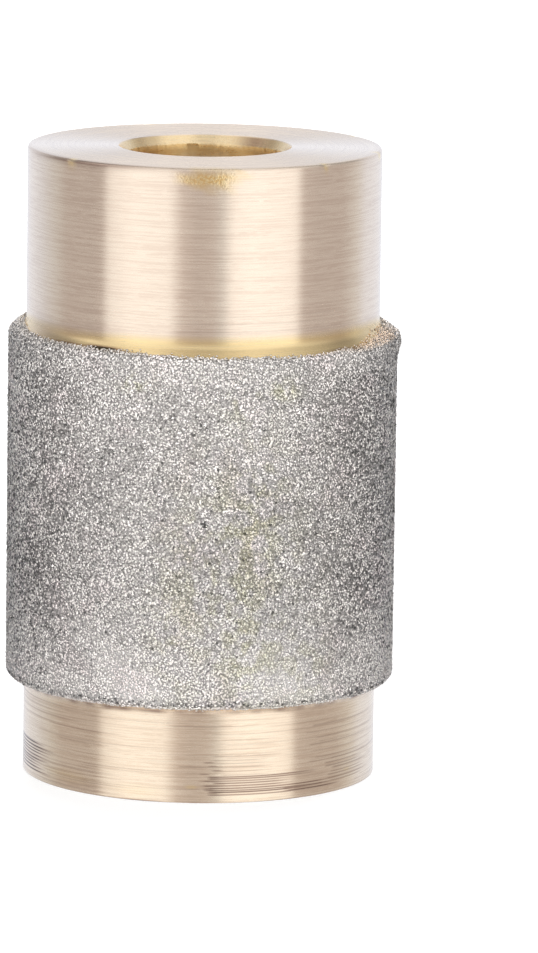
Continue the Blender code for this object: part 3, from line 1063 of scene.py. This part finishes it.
def addRoom():
    world = bpy.data.worlds.new("studio")
    bpy.context.scene.world = world
    world.use_nodes = True
    tree = world.node_tree
    tree.nodes.clear()
    direction = addNode(tree, "ShaderNodeTexCoord").outputs["Generated"]
    parts = addNode(tree, "ShaderNodeSeparateXYZ", {0: direction})
    angle = combine(tree, "ARCTAN2", parts.outputs[0], combine(tree, "MULTIPLY", parts.outputs[1], -1.0))
    turn = fade(tree, angle, -math.pi, math.pi)
    low = cardRamp(tree, turn, [(degrees, bright, room["tints"][tint]) for degrees, bright, tint in room["cards"]])
    high = cardRamp(tree, turn, [(degrees, bright, (1.0, 1.0, 1.0)) for degrees, bright in room["highCards"]])
    high = mixColour(tree, fade(tree, parts.outputs[2], *room["top"]), high, (room["zenith"] / room["range"],) * 3)
    reflected = mixColour(tree, fade(tree, parts.outputs[2], *room["blend"]), low, high)
    rays = addNode(tree, "ShaderNodeLightPath")
    seen = mixColour(tree, rays.outputs["Is Glossy Ray"], (room["fill"] / room["range"],) * 3, reflected)
    seen = mixColour(tree, rays.outputs["Is Camera Ray"], seen, (1 / room["range"],) * 3)
    backdrop = addNode(tree, "ShaderNodeBackground", {"Color": seen, "Strength": room["range"]})
    addNode(tree, "ShaderNodeOutputWorld", {0: backdrop.outputs[0]})


floor = {"radius": 900, "drop": 0.02, "glow": 0.78, "seenGrey": 0.3, "grey": 0.3, "underRadius": 8.4}


# The floor is a disc. The camera sees it as nearly white in itself, so that only the bit's shadow shows.
def addFloor():
    turn = np.linspace(0, math.tau, 64, endpoint=False)
    ring = around(floor["radius"], turn, -floor["drop"])
    mesh = meshFrom("floor", ring, np.arange(64)[None, :])
    item = bpy.data.objects.new("floor", mesh)
    bpy.context.scene.collection.objects.link(item)
    material, tree, shader = newMaterial("paleFloor")
    rays = addNode(tree, "ShaderNodeLightPath")
    seen = mixColour(tree, rays.outputs["Is Camera Ray"], (floor["grey"],) * 3, (floor["seenGrey"],) * 3)
    glow = combine(tree, "MULTIPLY", rays.outputs["Is Camera Ray"], floor["glow"])
    tree.links.new(seen, shader.inputs["Base Color"])
    tree.links.new(glow, shader.inputs["Emission Strength"])
    shader.inputs["Emission Color"].default_value = (1, 1, 1, 1)
    shader.inputs["Roughness"].default_value = 1.0
    shader.inputs["Specular IOR Level"].default_value = 0.0
    mesh.materials.append(material)
    item.visible_glossy = False

    # No light reaches the floor under the bit, so what shines down the bore sees it dark
    mesh = meshFrom("underBit", around(floor["underRadius"], turn, -floor["drop"] / 2), np.arange(64)[None, :])
    under = bpy.data.objects.new("under_bit", mesh)
    bpy.context.scene.collection.objects.link(under)
    material, tree, shader = newMaterial("underBit")
    shader.inputs["Base Color"].default_value = (0.05, 0.035, 0.02, 1)
    shader.inputs["Roughness"].default_value = 1.0
    mesh.materials.append(material)
    under.visible_camera = under.visible_diffuse = under.visible_shadow = False


# Lamps: angle round the bit, distance from its axis, height, size and power. The two in front stand
# close, so that the band's sides get less of their light than its middle.
lamps = {
    "high front": (-6, 40, 30, 12, 0.0127),
    "low front": (4, 40, 1.5, 12, 0.0142),
    "behind": (170, 300, 450, 400, 6.0),
}


def addLamps():
    target = Vector((0, 0, bit["height"] / 2)) * mm
    for name, (degrees, distance, height, size, power) in lamps.items():
        lamp = bpy.data.lights.new(name, "AREA")
        lamp.size, lamp.energy = size * mm, power
        item = bpy.data.objects.new(name, lamp)
        item.location = around(distance, math.radians(degrees), height) * mm
        item.rotation_mode = "QUATERNION"
        item.rotation_quaternion = (item.location - target).to_track_quat("Z", "Y")
        item.visible_glossy = False
        bpy.context.scene.collection.objects.link(item)


addCamera()
addRoom()
addFloor()
addLamps()
bpy.context.scene.view_settings.view_transform = "Standard"
